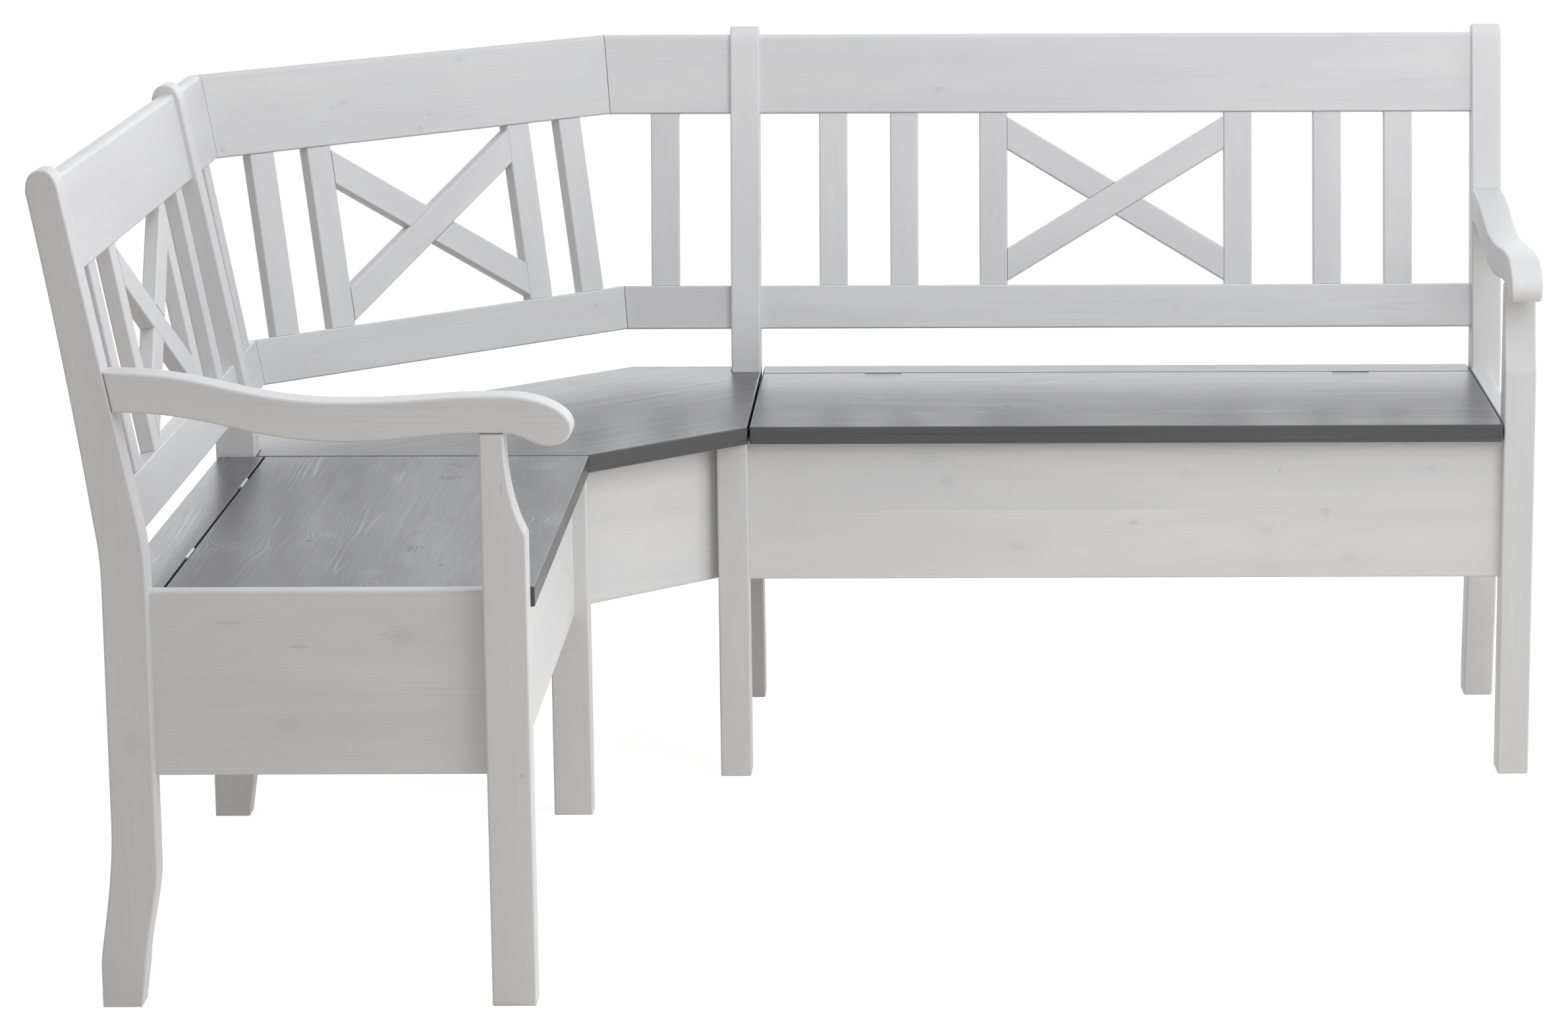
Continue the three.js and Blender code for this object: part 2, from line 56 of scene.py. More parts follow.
# Plan and back, as in the CAD part
bench = {
    "longWing": 1733, "shortWing": 1524, "wingDepth": 525,
    "cornerRun": 153,  # front of one wing to the corner legs of the other
    "cornerShoulder": 184,  # corner legs to where the diagonal starts
    "seatHeight": 465, "seatThickness": 23, "seatEdge": 2.2,
    "legWidth": 40, "legEdge": 2.8,
    "lean": 10.5, "joint": 0.3,
    "backDepth": 111.242,  # rails' front faces at the height of the seat
    "seatGap": 3, "lidPlay": 2,
}
mitreSlope = math.tan(math.pi / 8)  # a mitre halves the angle between wing and diagonal
seatHeight = bench["seatHeight"]
boxTop = seatHeight - bench["seatThickness"]
cornerLength = bench["wingDepth"] + bench["cornerRun"]  # outer corner to the corner legs
cornerCut = cornerLength - bench["cornerShoulder"]  # outer corner to where the diagonal starts
cornerLegEnd = cornerLength + bench["legWidth"]
lean = math.radians(bench["lean"])
outerCorner = Matrix.Translation((-bench["longWing"] / 2 * mm, bench["shortWing"] / 2 * mm, 0))
wings = {
    "right": {"side": -1, "length": bench["longWing"], "place": outerCorner, "slats": [0.343, 0.666]},
    "left": {
        "side": 1, "length": bench["shortWing"], "slats": [0.55],
        "place": outerCorner @ Matrix.Rotation(-math.pi / 2, 4, "Z"),
    },
}
halfCut = cornerCut / 2 * mm
eighthTurn = Matrix.Rotation(math.pi / 4, 4, "Z")
diagonalPlace = outerCorner @ Matrix.Translation((halfCut, -halfCut, 0)) @ eighthTurn

# Where a board's grain (X), width (Y) and thickness (Z) point in the frame it is made in
lying = Matrix.Identity(4)
edgeways = Matrix(((1, 0, 0, 0), (0, 0, -1, 0), (0, 1, 0, 0), (0, 0, 0, 1)))
upright = Matrix(((0, 1, 0, 0), (0, 0, 1, 0), (1, 0, 0, 0), (0, 0, 0, 1)))
sideways = Matrix(((0, 0, -1, 0), (0, 1, 0, 0), (1, 0, 0, 0), (0, 0, 0, 1)))
crosswise = Matrix(((0, 0, 1, 0), (1, 0, 0, 0), (0, 1, 0, 0), (0, 0, 0, 1)))


# Materials

def linear(colour):
    shares = [int(colour[i:i + 2], 16) / 255 for i in (1, 3, 5)]
    return [c / 12.92 if c <= 0.04045 else ((c + 0.055) / 1.055) ** 2.4 for c in shares] + [1]


# Links or sets an input; a node given as the value stands for its first output in use
def setInput(tree, socket, value):
    if isinstance(value, bpy.types.Node):
        value = next(output for output in value.outputs if output.enabled)
    if isinstance(value, bpy.types.NodeSocket):
        tree.links.new(value, socket)
    else:
        socket.default_value = value


# Adds a node. Its inputs are given in the order of the sockets in use, or by name. A group's tree
# is among the settings, so that its sockets are there before its inputs are set.
def addNode(tree, kind, inputs=(), **settings):
    made = tree.nodes.new(kind if kind.startswith("Node") else "ShaderNode" + kind)
    for name, value in settings.items():
        setattr(made, name, value)
    inUse = [socket for socket in made.inputs if socket.enabled]
    pairs = inputs.items() if isinstance(inputs, dict) else enumerate(inputs)
    for key, value in pairs:
        setInput(tree, made.inputs[key] if isinstance(key, str) else inUse[key], value)
    return made


def maths(tree, operation, *inputs):
    return addNode(tree, "Math", inputs, operation=operation)


def vectorMaths(tree, operation, *inputs):
    return addNode(tree, "VectorMath", inputs, operation=operation)


# Takes a value from one span to another, and never past its ends
def mapped(tree, value, span, low, high):
    return addNode(tree, "MapRange", [value, *span, low, high])


# Noise whose grains are that long along X and that wide across it
def noise(tree, place, length, width, detail):
    scaled = vectorMaths(tree, "MULTIPLY", place, (1 / length, 1 / width, 1 / width))
    return addNode(tree, "TexNoise", {"Vector": scaled, "Scale": 1, "Detail": detail}).outputs[0]


def newMaterial(name):
    material = bpy.data.materials.new(name)
    material.use_nodes = True
    material.node_tree.nodes.clear()
    return material, material.node_tree


socketKinds = {"Place": "Vector", "Centre": "Vector", "Normal": "Vector", "Color": "Color"}


# A node group. Its sockets are single numbers where no other kind is named above.
def newGroup(name, inputs, outputs):
    tree = bpy.data.node_groups.new(name, "ShaderNodeTree")
    for way, labels in (("INPUT", inputs), ("OUTPUT", outputs)):
        for label in labels:
            kind = "NodeSocket" + socketKinds.get(label, "Float")
            tree.interface.new_socket(label, in_out=way, socket_type=kind)
    return tree, addNode(tree, "NodeGroupInput").outputs


# Growth rings of flat-sawn pine, cut out of a trunk whose pith lies behind the board. A board is
# glued up from staves, each with its own figure and tone. A span is where in its noise a layer starts
# and where it is full.
pineGrowth = {
    "ringStep": 2.4,
    "pithSpread": 120, "pithDepth": 16, "pithDepthSpread": 34,
    "bow": 24,  # how far the rings swing along a board
    "bowLength": 900, "bowWidth": 150,
    "wave": 1.6, "waveLength": 190, "waveWidth": 40,
    "lineStart": 0.48, "linePeak": 0.74, "lineEnd": 0.86,  # late wood within one ring
    "patchLength": 200, "patchWidth": 40, "patchSpan": [0.52, 0.68],  # where the rings show
    "fibreLength": 70, "fibreWidth": 1.8,
    "streakLength": 330, "streakWidth": 3.4, "streakSpan": [0.56, 0.72],
    "cloudLength": 420, "cloudWidth": 60,
    "seamWidth": 0.7,
    "staveApart": (7000, 5000, 3000),  # how far apart two staves may lie in the figure
    "seedStep": 3.7,  # from one board's figure to the next
}


def pineFigure(growth):
    outputs = ["Rings", "Patch", "Fibre", "Streak", "Cloud", "Tone", "Seam"]
    tree, given = newGroup("pineFigure", ["Place", "Push", "Stave", "Seam", "Seed"], outputs)
    axes = addNode(tree, "SeparateXYZ", [given["Place"]]).outputs
    fromSeam = maths(tree, "SUBTRACT", axes["Y"], given["Seam"])
    share = maths(tree, "DIVIDE", fromSeam, given["Stave"])
    key = addNode(tree, "CombineXYZ", [maths(tree, "FLOOR", share), given["Seed"], 0.5])
    chance = addNode(tree, "TexWhiteNoise", [key], noise_dimensions="3D").outputs["Color"]
    chances = addNode(tree, "SeparateXYZ", [chance]).outputs
    apart = vectorMaths(tree, "MULTIPLY_ADD", chance, growth["staveApart"], given["Place"])

    # Distance from the pith, which differs from stave to stave
    fromMiddle = maths(tree, "SUBTRACT", maths(tree, "FRACT", share), 0.5)
    inStave = maths(tree, "MULTIPLY", fromMiddle, given["Stave"])
    spread = growth["pithSpread"]
    pithSide = maths(tree, "MULTIPLY_ADD", chances["X"], spread, -spread / 2)
    pithDepth = maths(tree, "MULTIPLY_ADD", chances["Y"], growth["pithDepthSpread"], growth["pithDepth"])
    fromSide = maths(tree, "SUBTRACT", inStave, pithSide)
    fromDepth = maths(tree, "ADD", axes["Z"], pithDepth)
    radial = vectorMaths(tree, "LENGTH", addNode(tree, "CombineXYZ", [0, fromSide, fromDepth]))

    def layer(part, detail):
        return noise(tree, apart, growth[part + "Length"], growth[part + "Width"], detail)

    bowed = maths(tree, "MULTIPLY_ADD", layer("bow", 1), growth["bow"], radial)
    waved = maths(tree, "MULTIPLY_ADD", layer("wave", 1), growth["wave"], bowed)
    pushed = maths(tree, "ADD", waved, given["Push"])
    ring = maths(tree, "FRACT", maths(tree, "DIVIDE", pushed, growth["ringStep"]))
    rise = mapped(tree, ring, [growth["lineStart"], growth["linePeak"]], 0, 1)
    fall = mapped(tree, ring, [growth["linePeak"], growth["lineEnd"]], 1, 0)
    rings = maths(tree, "MINIMUM", rise, fall)
    patch = mapped(tree, layer("patch", 1), growth["patchSpan"], 0, 1)
    streak = mapped(tree, layer("streak", 2), growth["streakSpan"], 0, 1)
    halfStave = maths(tree, "MULTIPLY", given["Stave"], 0.5)
    toSeam = maths(tree, "SUBTRACT", halfStave, maths(tree, "ABSOLUTE", inStave))
    seam = mapped(tree, toSeam, [0, growth["seamWidth"]], 1, 0)
    results = [rings, patch, layer("fibre", 3), streak, layer("cloud", 2), chances["Z"], seam]
    addNode(tree, "NodeGroupOutput", results)
    return tree


# A knot: rings close round it, and a hard dark core where it comes to the surface
knotForm = {
    "ragged": 0.55, "crumb": 4.5, "pushReach": 2.6, "pushHeight": 1.9, "haloReach": 2.8,
    "coreSpan": [0.85, 1.4],  # in radii, where the core thins out and where it ends
    "narrowing": 0.62,  # a knot's width to its length
    "spikeOpen": 0.55,
}


def pineKnot(form):
    inputs = ["Place", "Centre", "Radius", "Narrowing", "Open"]
    tree, given = newGroup("pineKnot", inputs, ["Push", "Core", "Halo"])
    offset = vectorMaths(tree, "SUBTRACT", given["Place"], given["Centre"])
    squeeze = addNode(tree, "CombineXYZ", [given["Narrowing"], 1, 0])
    distance = vectorMaths(tree, "LENGTH", vectorMaths(tree, "MULTIPLY", offset, squeeze))
    reach = maths(tree, "DIVIDE", distance, given["Radius"])
    rough = noise(tree, given["Place"], form["crumb"], form["crumb"], 2)
    ragged = maths(tree, "MULTIPLY_ADD", rough, form["ragged"], reach)
    swells = []
    for width in (form["pushReach"], form["haloReach"]):
        share = maths(tree, "DIVIDE", reach, width)
        squared = maths(tree, "MULTIPLY", share, share)
        swells.append(maths(tree, "EXPONENT", maths(tree, "MULTIPLY", squared, -1)))
    height = maths(tree, "MULTIPLY", given["Radius"], form["pushHeight"])
    push = maths(tree, "MULTIPLY", swells[0], height)
    core = mapped(tree, ragged, form["coreSpan"], given["Open"], 0)
    addNode(tree, "NodeGroupOutput", [push, core, swells[1]])
    return tree


# Torn grain: a small patch of short dark dashes along the grain, where the planer lifted the fibres
tornForm = {
    "dashLength": 40, "dashWidth": 3, "dashSpan": [0.4, 0.5],
    "depth": 12,
    "fadeSpan": [0.5, 1],  # in half sizes of the patch, where it thins out and where it ends
}


def tornGrain(form):
    tree, given = newGroup("tornGrain", ["Place", "Centre", "Length", "Width", "Dark"], ["Torn"])
    offset = vectorMaths(tree, "SUBTRACT", given["Place"], given["Centre"])
    size = addNode(tree, "CombineXYZ", [given["Length"], given["Width"], form["depth"]])
    reach = vectorMaths(tree, "LENGTH", vectorMaths(tree, "DIVIDE", offset, size))
    within = mapped(tree, reach, form["fadeSpan"], given["Dark"], 0)
    dash = noise(tree, given["Place"], form["dashLength"], form["dashWidth"], 1)
    torn = maths(tree, "MULTIPLY", within, mapped(tree, dash, form["dashSpan"], 0, 1))
    addNode(tree, "NodeGroupOutput", [torn])
    return tree


# White glaze on planed pine: nearly opaque, satin, so that grain and knots only just show through
whiteGlaze = {
    "base": "#DDDDDD", "cloud": "#D2D2D5", "cloudShare": 0.5, "toneShare": 0.3,
    "fibre": "#CBCBCB", "fibreShare": 0.14, "streak": "#C9C9C9", "streakShare": 0.12,
    "ring": "#C2C2C0", "ringShare": 0.26, "patchFloor": 0.25, "seam": "#C4C4C6", "seamShare": 0.2,
    "halo": "#CDCDD2", "haloShare": 0.2, "core": "#ADADB3", "coreShare": 0.55,
    "torn": "#B5B5B5", "tornShare": 0.5, "edge": "#DDDDDD", "edgeTone": 1,
    "roughness": [0.44, 0.54], "relief": 0.02,
}

# Grey glaze on brushed pine, rubbed so that the late wood shows light where the board was rubbed most
greyGlaze = {
    "base": "#565658", "cloud": "#6C6C6E", "cloudShare": 0.6, "toneShare": 0.25,
    "fibre": "#4A4A4C", "fibreShare": 0.14, "streak": "#353537", "streakShare": 0.5,
    "ring": "#9C9C9E", "ringShare": 0.7, "patchFloor": 0.05, "seam": "#4A4A4C", "seamShare": 0.2,
    "halo": "#7A7A7B", "haloShare": 0.4, "core": "#2A2829", "coreShare": 0.9,
    # The grey edge colour is painted shade: the seats' fronts and ends darker than their tops, as light
    # from above leaves them
    "torn": "#29282A", "tornShare": 0.95, "edge": "#474748", "edgeTone": 0.2,
    "roughness": [0.3, 0.36], "relief": 0.03,
}

# Where each layer of a glaze starts and where it is full
glazeSpans = {
    "cloud": [0.35, 0.65], "fibre": [0.45, 0.7], "halo": [0.5, 0.95], "sheen": [0.3, 0.7],
    "face": [0.6, 0.95],  # how squarely a surface faces out of the board, cosine
}


def glazedPine(name, figure, finish):
    passed = ["Place", "Push", "Stave", "Seam", "Seed"]
    own = ["Core", "Halo", "Torn", "Rings", "Streaks", "Facing"]
    tree, given = newGroup(name, passed + own, ["Color", "Roughness", "Normal"])
    grown = addNode(tree, "Group", {label: given[label] for label in passed}, node_tree=figure).outputs
    spans = glazeSpans
    cloud = mapped(tree, grown["Cloud"], spans["cloud"], 0, finish["cloudShare"])
    spread = maths(tree, "MULTIPLY_ADD", grown["Tone"], finish["toneShare"], cloud)
    evenness = mapped(tree, given["Facing"], [0, 1], finish["edgeTone"], 1)
    toned = maths(tree, "MULTIPLY", spread, evenness)
    fibre = mapped(tree, grown["Fibre"], spans["fibre"], 0, finish["fibreShare"])
    patch = mapped(tree, grown["Patch"], [0, 1], finish["patchFloor"], 1)
    rubbed = maths(tree, "MAXIMUM", patch, given["Halo"])
    clear = maths(tree, "MULTIPLY", rubbed, given["Rings"])
    onFace = mapped(tree, given["Facing"], spans["face"], 0, 1)
    lines = maths(tree, "MULTIPLY", grown["Rings"], maths(tree, "MULTIPLY", clear, onFace))
    halo = mapped(tree, given["Halo"], spans["halo"], 0, finish["haloShare"])
    streaks = maths(tree, "MULTIPLY", grown["Streak"], given["Streaks"])

    def part(layer, value):
        return maths(tree, "MULTIPLY", value, finish[layer + "Share"])

    layers = {
        "cloud": toned, "fibre": fibre, "streak": part("streak", streaks), "halo": halo,
        "ring": part("ring", lines), "seam": part("seam", grown["Seam"]),
        "torn": part("torn", given["Torn"]), "core": part("core", given["Core"]),
    }
    # Painted shade: the board's front, ends and back take the edge colour, which is darker than the top in
    # the grey glaze
    paintedEdgeShade = [onFace, linear(finish["edge"]), linear(finish["base"])]
    colour = addNode(tree, "Mix", paintedEdgeShade, data_type="RGBA")
    for layer, share in layers.items():
        colour = addNode(tree, "Mix", [share, colour, linear(finish[layer])], data_type="RGBA")
    sheen = mapped(tree, grown["Fibre"], spans["sheen"], *finish["roughness"])
    height = maths(tree, "SUBTRACT", lines, given["Core"])
    bump = addNode(tree, "Bump", {"Strength": 1, "Distance": finish["relief"] * mm, "Height": height})
    addNode(tree, "NodeGroupOutput", [colour, sheen, bump])
    return tree


figureGroup = pineFigure(pineGrowth)
knotGroup = pineKnot(knotForm)
tornGroup = tornGrain(tornForm)
finishes = {
    "white_glaze": glazedPine("whiteGlazedPine", figureGroup, whiteGlaze),
    "grey_glaze": glazedPine("greyGlazedPine", figureGroup, greyGlaze),
}

# Boards with a figure of their own. A stave is that wide, one seam lies that far from the middle of the
# board. Knots are (along, across, radius, how open), spike knots (along, across, half length, half
# width), and torn grain the same with how dark it is. One setting darkens or lightens the whole board:
# painted light and shade, matched board by board to how brightly each board is lit.
plainFigure = {
    "stave": 900, "seam": -450, "rings": 1, "streaks": 1, "paintedLight": 1, "knots": [], "spikes": [], "torn": [],
}
boardFigures = {
    "left_seat_lid": {
        "stave": 112, "seam": 18, "streaks": 0.35,
        "knots": [
            (133, -78, 4.6, 1), (305, 13, 8, 0), (268, 87, 4, 1), (14, 197, 12, 0), (-312, 150, 9, 0),
            (164, -163, 9, 0), (95, -62, 7, 0),
        ],
        "torn": [
            (-320, 44, 18, 15, 0.9), (-288, 36, 16, 9, 0.5), (-240, 43, 20, 18, 0.8),
            (178, 46, 23, 14, 0.9), (-30, 36, 70, 6, 0.4), (98, 37, 40, 5, 0.5),
            (10, 60, 30, 16, 0.25), (270, 30, 20, 20, 0.2),
        ],
    },
    "right_seat_lid": {
        "stave": 130, "seam": -66, "streaks": 1.1, "rings": 0.7,
        "knots": [
            (-166, 71, 4.2, 1), (-151, -59, 5, 1), (-93, 125, 5, 0), (-262, -105, 5, 0), (-320, 10, 5, 0),
        ],
        "spikes": [(-178, 71, 12, 1.6), (-136, -58, 20, 1.8), (380, 20, 90, 2.2), (440, -45, 70, 2)],
    },
    "corner_seat": {"stave": 140, "seam": -30, "streaks": 2, "rings": 0.25},
    "left_seat_strip": {"streaks": 0.6}, "right_seat_strip": {"streaks": 0.8, "paintedLight": 0.72, "rings": 0.4},
    "right_front_apron": {
        "stave": 100, "seam": 0, "rings": 1.2,
        "knots": [
            (-230, 39, 6, 0.3), (12, -18, 3.6, 0.5), (260, -3, 5, 0.35), (79, 48, 5, 0.25),
            (395, 52, 5, 0.25), (-139, -48, 6, 0.25), (188, -79, 10, 0.15), (291, -66, 9, 0.15),
            (-254, 70, 9, 0.15), (182, -29, 6, 0.2), (200, 51, 1.5, 0.9), (225, 68, 3, 0.25),
        ],
    },
    "left_end_panel": {
        "stave": 130, "seam": -33, "rings": 1.3,
        "knots": [(92, 52, 8.5, 0.4), (-36, -45, 8, 0.3)],
        "spikes": [(-97, 68, 15, 1.5), (-21, 41, 11, 1.6), (72, 55, 6, 1)],
    },
    "diagonal_apron": {"stave": 100, "seam": 12, "paintedLight": 1.08},
    "left_front_apron": {"stave": 100, "seam": 0, "paintedLight": 1.06},
    "right_end_panel": {"stave": 130, "seam": 20, "knots": [(-60, 30, 6, 0.5), (80, -40, 4, 0.5)]},
    "right_back_panel": {
        "stave": 96, "seam": 0, "knots": [(-310, 20, 6, 0.5), (120, -30, 5, 0.4), (350, 44, 4, 0.6)],
    },
    "left_back_panel": {"stave": 96, "seam": 0, "knots": [(-120, 24, 6, 0.5), (210, -36, 4, 0.5)]},
    "left_end_rear_leg": {"knots": [(-164, 34, 8, 0.25)]},
    "left_end_front_leg": {"knots": [(-58, 14, 1.6, 0.8)], "spikes": [(261, -1, 7, 1.6)]},
    "left_armrest": {"knots": [(21, -28, 4, 0.1)]},
    # Painted light and shade: these boards are only made lighter or darker, to how brightly each one is lit
    "right_corner_rear_leg": {"paintedLight": 1.05}, "right_corner_front_leg": {"paintedLight": 0.95},
    "right_end_front_leg": {"paintedLight": 0.96}, "right_corner_top_rail": {"paintedLight": 1.05},
    "right_slat_1": {"paintedLight": 1.05}, "right_slat_2": {"paintedLight": 1.04},
    "diagonal_top_rail": {
        "paintedLight": 0.95,
        "knots": [
            (80, 40, 3.4, 0.3), (-120, -1, 5, 0.3), (0, -46, 3, 0.5), (-321, -45, 3, 0.5),
            (-139, -8, 2.4, 0.3), (19, -29, 2.6, 0.35),
        ],
    },
    "diagonal_bottom_rail": {"knots": [(258, 8, 3, 0.3)]},
    "left_top_rail": {"knots": [(-319, -46, 1.5, 0.8), (51, 0, 5, 0.15)]},
    "right_top_rail": {"knots": [(204, -17, 5, 0.25), (-242, -22, 4, 0.35), (318, 50, 4, 0.15)]},
    "right_bottom_rail": {
        "paintedLight": 1.07, "knots": [(-302, -5, 1.6, 0.5), (-467, -11, 1.6, 0.5), (82, -1, 1.6, 0.5)],
    },
}


# One board's material: grain is the board's own frame in the world
def boardMaterial(name, slot, grain):
    figure = {**plainFigure, **boardFigures.get(name, {})}
    material, tree = newMaterial(name)
    coordinates = addNode(tree, "TexCoord").outputs
    settings = {
        "Vector": coordinates["Object"], "Location": grain.to_translation(), "Rotation": grain.to_euler(),
    }
    local = addNode(tree, "Mapping", settings, vector_type="TEXTURE")
    inBoard = vectorMaths(tree, "MULTIPLY", local, (1 / mm, 1 / mm, 1 / mm))
    thickness = grain.to_3x3() @ Vector((0, 0, 1))
    outward = vectorMaths(tree, "DOT_PRODUCT", coordinates["Normal"], thickness)
    inputs = {
        "Place": inBoard, "Facing": maths(tree, "ABSOLUTE", outward),
        "Seed": len(bpy.data.materials) * pineGrowth["seedStep"],
        **{key.title(): figure[key] for key in ("stave", "seam", "rings", "streaks")},
    }
    knots = [(x, y, radius, knotForm["narrowing"], opened) for x, y, radius, opened in figure["knots"]]
    spikeOpen = knotForm["spikeOpen"]
    knots += [(x, y, width, width / length, spikeOpen) for x, y, length, width in figure["spikes"]]
    spots = []
    for x, y, radius, narrowing, opened in knots:
        settings = {"Radius": radius, "Narrowing": narrowing, "Open": opened}
        results = {"Push": "ADD", "Core": "MAXIMUM", "Halo": "MAXIMUM"}
        spots.append((knotGroup, (x, y, 0), settings, results))
    for x, y, length, width, dark in figure["torn"]:
        settings = {"Length": length, "Width": width, "Dark": dark}
        spots.append((tornGroup, (x, y, bench["seatThickness"] / 2), settings, {"Torn": "MAXIMUM"}))
    for group, centre, settings, results in spots:
        settings = {"Place": inBoard, "Centre": centre, **settings}
        spot = addNode(tree, "Group", settings, node_tree=group)
        for label, operation in results.items():
            found = spot.outputs[label]
            if label in inputs:
                found = maths(tree, operation, inputs[label], found)
            inputs[label] = found
    glazed = addNode(tree, "Group", inputs, node_tree=finishes[slot]).outputs
    # Painted light and shade: the whole board's colour is made lighter or darker to stand for how it is lit
    paintedLight = addNode(tree, "HueSaturation", {"Color": glazed["Color"], "Value": figure["paintedLight"]})
    shader = addNode(tree, "BsdfPrincipled", {
        "Base Color": paintedLight, "Roughness": glazed["Roughness"], "Normal": glazed["Normal"], "IOR": 1.5,
    })
    addNode(tree, "OutputMaterial", {"Surface": shader})
    return material


# Bright zinc on pressed steel: a hard blue-white metal with faint draw marks
zincCoat = {
    "colour": "#D3D5D9", "roughness": [0.34, 0.5], "relief": 0.01,
    "markLength": 14, "markWidth": 0.5, "markSpan": [0.3, 0.7],
}


def zincMaterial(name, coat):
    material, tree = newMaterial(name)
    place = addNode(tree, "TexCoord").outputs["Object"]
    marks = noise(tree, place, coat["markLength"] * mm, coat["markWidth"] * mm, 3)
    dull = mapped(tree, marks, coat["markSpan"], *coat["roughness"])
    bump = addNode(tree, "Bump", {"Strength": 1, "Distance": coat["relief"] * mm, "Height": marks})
    shader = addNode(tree, "BsdfPrincipled", {
        "Base Color": linear(coat["colour"]), "Metallic": 1, "Roughness": dull, "Normal": bump,
    })
    addNode(tree, "OutputMaterial", {"Surface": shader})
    return material


zinc = zincMaterial("zinc", zincCoat)
print("materials: glazes and zinc ready")


# Tools of the workshop

def pick(obj):
    bpy.ops.object.select_all(action="DESELECT")
    obj.select_set(True)
    bpy.context.view_layer.objects.active = obj


def settle(obj, place):
    obj.matrix_world = place
    pick(obj)
    bpy.ops.object.transform_apply(location=True, rotation=True, scale=True)


# Rounds the edges for which chosen(start, end) holds
def roundEdges(obj, radius, steps, chosen):
    mesh = obj.data
    for elements in (mesh.vertices, mesh.edges, mesh.polygons):
        elements.foreach_set("select", [False] * len(elements))
    for edge in mesh.edges:
        start, end = (mesh.vertices[i].co for i in edge.vertices)
        edge.select = bool(chosen(start, end))
    pick(obj)
    bpy.ops.object.mode_set(mode="EDIT")
    bpy.ops.mesh.bevel(offset=radius * mm, segments=steps, affect="EDGES")
    bpy.ops.object.mode_set(mode="OBJECT")


# Saws off what lies beyond a plane and breaks the new edges
def sawEnd(obj, point, normal, arris=0.3):
    point, normal = Vector(point) * mm, Vector(normal).normalized()
    pick(obj)
    bpy.ops.object.mode_set(mode="EDIT")
    bpy.ops.mesh.select_all(action="SELECT")
    bpy.ops.mesh.bisect(plane_co=point, plane_no=normal, use_fill=True, clear_outer=True)
    bpy.ops.object.mode_set(mode="OBJECT")
    if arris:
        onPlane = lambda place: abs((place - point).dot(normal)) < samePlace
        roundEdges(obj, arris, 2, lambda start, end: onPlane(start) and onPlane(end))


# Cuts one piece's shape out of another, and does away with the first
def cutOut(obj, cutter):
    cut = obj.modifiers.new("cut", "BOOLEAN")
    cut.operation = "DIFFERENCE"
    cut.object = cutter
    pick(obj)
    bpy.ops.object.modifier_apply(modifier=cut.name)
    bpy.data.objects.remove(cutter)


def alongAxis(axis):
    return lambda start, end: abs((end - start).normalized()[axis]) > nearlyParallel


# A square board from one corner to the other, with its long edges rounded
def plank(name, low, high, edge, axis=0, steps=3):
    low, high = Vector(low) * mm, Vector(high) * mm
    low, high = Vector(map(min, low, high)), Vector(map(max, low, high))
    bpy.ops.mesh.primitive_cube_add(size=1)
    made = bpy.context.object
    made.name = name
    settle(made, Matrix.LocRotScale((low + high) / 2, None, high - low))
    if axis is not None:
        roundEdges(made, edge, steps, alongAxis(axis))
    return made


# A piece sawn to an outline out of a board: the outline is in X and Y, the thickness along Z
def sawn(name, outline, thickness, edge, steps=4):
    bpy.ops.mesh.primitive_circle_add(vertices=len(outline), radius=1, fill_type="NGON")
    made = bpy.context.object
    made.name = name
    for vertex, place in zip(made.data.vertices, outline):
        vertex.co = (place[0] * mm, place[1] * mm, 0)
    bpy.ops.object.mode_set(mode="EDIT")
    bpy.ops.mesh.select_all(action="SELECT")
    bpy.ops.mesh.extrude_region_move(TRANSFORM_OT_translate={"value": (0, 0, thickness * mm)})
    bpy.ops.mesh.select_all(action="SELECT")
    bpy.ops.mesh.normals_make_consistent(inside=False)
    bpy.ops.object.mode_set(mode="OBJECT")
    roundEdges(made, edge, steps, lambda start, end: abs(end.z - start.z) < samePlace)
    return made


smoothUnder = math.radians(40)  # two faces that meet at less are one rounding


# Smooths the roundings, gives the piece its material and lets it ride
def dress(piece, material, slot, body, *replaced):
    pick(piece)
    bpy.ops.object.shade_smooth_by_angle(angle=smoothUnder)
    evened = piece.modifiers.new("evened", "WEIGHTED_NORMAL")
    evened.keep_sharp = True
    bpy.ops.object.modifier_apply(modifier=evened.name)
    piece.data.materials.clear()
    piece.data.materials.append(material)
    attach(piece, body)
    if replaced:
        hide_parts(*replaced)
    return piece


# A board's own frame in the world: its middle, and where its length, width and thickness point
def boardFrame(middle, place, grain):
    return Matrix.Translation(middle) @ (place @ grain).to_3x3().normalized().to_4x4()


# Puts a wooden piece in its place and names it after the board it stands for
def fitBoard(piece, place, grain, board, slot="white_glaze", body="frame", node=None):
    settle(piece, place)
    corners = [Vector(corner) for corner in piece.bound_box]
    middle = sum(corners, Vector()) / len(corners)
    material = boardMaterial(board, slot, boardFrame(middle, place, grain))
    piece.name = board + "_dressed"
    return dress(piece, material, slot, body, node or board)


# Adds a curve to an outline: through two handles, or one where only one is given
def bend(outline, *points, steps=14):
    start, end = Vector(outline[-1]), Vector(points[-1])
    handles = [Vector(point) for point in points[:-1]]
    if len(handles) == 1:
        handles = [start.lerp(handles[0], 2 / 3), end.lerp(handles[0], 2 / 3)]
    outline.extend(tuple(place) for place in interpolate_bezier(start, *handles, end, steps)[1:])


